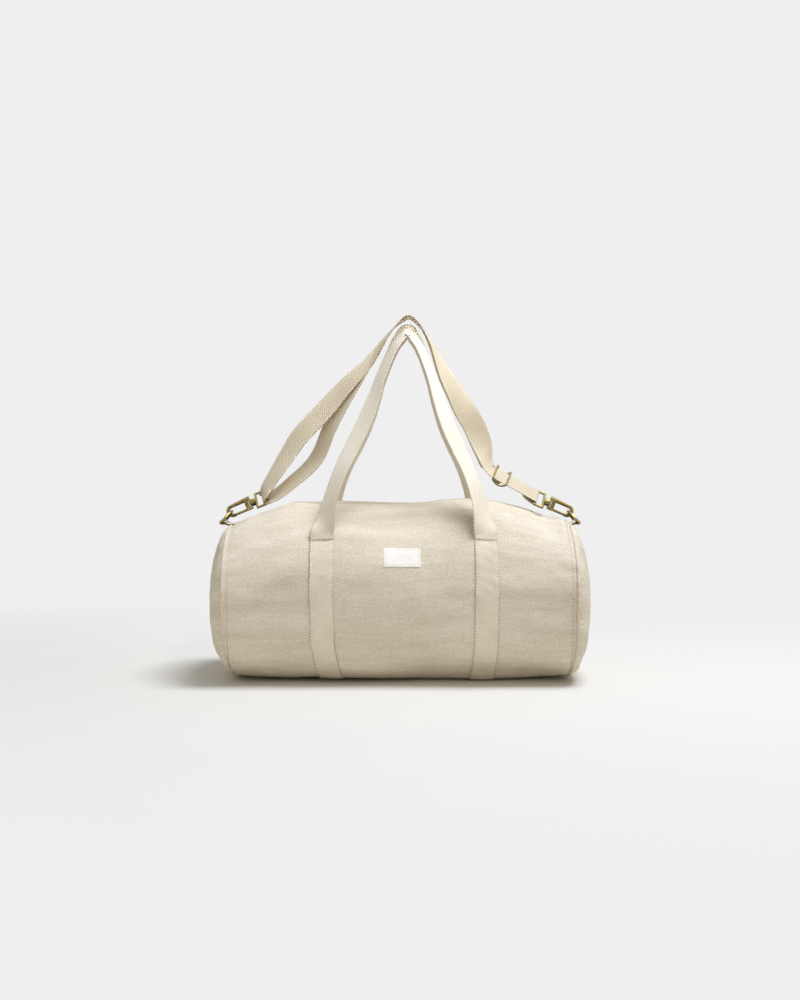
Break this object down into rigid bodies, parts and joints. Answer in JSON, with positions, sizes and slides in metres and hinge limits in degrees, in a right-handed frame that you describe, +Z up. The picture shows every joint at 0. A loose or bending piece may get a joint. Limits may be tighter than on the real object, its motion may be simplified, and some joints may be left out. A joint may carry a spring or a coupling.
{
  "type": "barrel bag",
  "caption": "Canvas barrel bag with round end panels, a zip along the top, webbing grab handles and a hooked, adjustable shoulder strap.",
  "frame": {"origin": "on the resting surface, under the middle of the barrel", "axes": "+X along the barrel to the adjuster's end, +Y from front to back, +Z up"},
  "size_m": [0.5096, 0.239, 0.4807],
  "materials": {
    "canvas": "natural cotton canvas",
    "tape": "plain cotton tape",
    "label": "smooth cotton label",
    "webbing": "diagonal-weave cotton webbing",
    "antique_brass": "antique brass plate, darkened in its corners",
    "steel": "bright spring steel"
  },
  "bodies": {
    "bag": {"body_panel": "canvas", "left_end_panel": "canvas", "right_end_panel": "canvas", "left_seam_binding": "tape", "right_seam_binding": "tape", "front_zip_tape": "tape", "back_zip_tape": "tape", "front_zip_teeth": "antique_brass", "back_zip_teeth": "antique_brass", "zip_end_stops": "antique_brass", "label": "label", "left_sewn_webbing": "webbing", "right_sewn_webbing": "webbing", "left_ring_tab": "canvas", "right_ring_tab": "canvas"},
    "front_handle": {"front_handle": "webbing"},
    "back_handle": {"back_handle": "webbing"},
    "strap": {"strap_webbing": "webbing", "left_eye": "antique_brass", "right_eye": "antique_brass"},
    "adjuster": {"strap_adjuster": "antique_brass", "strap_loop_end": "webbing"},
    "left_hook": {"left_hook": "antique_brass", "left_gate_pin": "steel", "left_gate_spring": "steel"},
    "right_hook": {"right_hook": "antique_brass", "right_gate_pin": "steel", "right_gate_spring": "steel"},
    "left_gate": {"left_gate": "antique_brass"},
    "right_gate": {"right_gate": "antique_brass"},
    "left_ring": {"left_d_ring": "antique_brass"},
    "right_ring": {"right_d_ring": "antique_brass"},
    "zip_slider": {"zip_slider": "antique_brass"},
    "zip_pull": {"zip_pull": "antique_brass"}
  },
  "joints": [
    {"name": "front_handle_swing", "type": "hinge", "parent": "bag", "child": "front_handle", "pos_m": [0, -0.09512, 0.18621], "axis": [1, 0, 0], "range_deg": [0, 120]},
    {"name": "back_handle_swing", "type": "hinge", "parent": "bag", "child": "back_handle", "pos_m": [0, 0.09512, 0.18621], "axis": [-1, 0, 0], "range_deg": [0, 120]},
    {"name": "strap_swing", "type": "hinge", "parent": "bag", "child": "strap", "pos_m": [0, 0, 0.21877], "axis": [1, 0, 0], "range_deg": [-25, 25]},
    {"name": "left_swivel", "type": "hinge", "parent": "strap", "child": "left_hook", "pos_m": [-0.22611, 0, 0.21877], "axis": [0.9205, 0, 0.3907], "range_deg": [-26, 26]},
    {"name": "right_swivel", "type": "hinge", "parent": "strap", "child": "right_hook", "pos_m": [0.22611, 0, 0.21877], "axis": [0.9205, 0, -0.3907], "range_deg": [-26, 26]},
    {"name": "left_gate_turn", "type": "hinge", "parent": "left_hook", "child": "left_gate", "pos_m": [-0.20305, 0, 0.22177], "axis": [0, 1, 0], "range_deg": [0, 20], "stiffness_Nm_per_rad": 0.02, "springref_deg": -11.46},
    {"name": "right_gate_turn", "type": "hinge", "parent": "right_hook", "child": "right_gate", "pos_m": [0.20305, 0, 0.22177], "axis": [0, -1, 0], "range_deg": [0, 20], "stiffness_Nm_per_rad": 0.02, "springref_deg": -11.46},
    {"name": "left_ring_turn", "type": "hinge", "parent": "bag", "child": "left_ring", "pos_m": [-0.238, 0, 0.2046], "axis": [0, 1, 0], "range_deg": [-3, 3]},
    {"name": "right_ring_turn", "type": "hinge", "parent": "bag", "child": "right_ring", "pos_m": [0.238, 0, 0.2046], "axis": [0, -1, 0], "range_deg": [-3, 3]},
    {"name": "adjuster_slide", "type": "slide", "parent": "strap", "child": "adjuster", "axis": [0.8746, 0, -0.4848], "range_m": [0, 0.012]},
    {"name": "zip_slide", "type": "slide", "parent": "bag", "child": "zip_slider", "axis": [-1, 0, 0], "range_m": [0, 0.242]},
    {"name": "zip_pull_flip", "type": "hinge", "parent": "zip_slider", "child": "zip_pull", "pos_m": [0.121, 0, 0.23157], "axis": [0, 1, 0], "range_deg": [0, 165]}
  ],
  "couplings": [
    {"joint": "left_swivel", "follows": "strap_swing", "ratio": -1},
    {"joint": "right_swivel", "follows": "strap_swing", "ratio": -1}
  ]
}
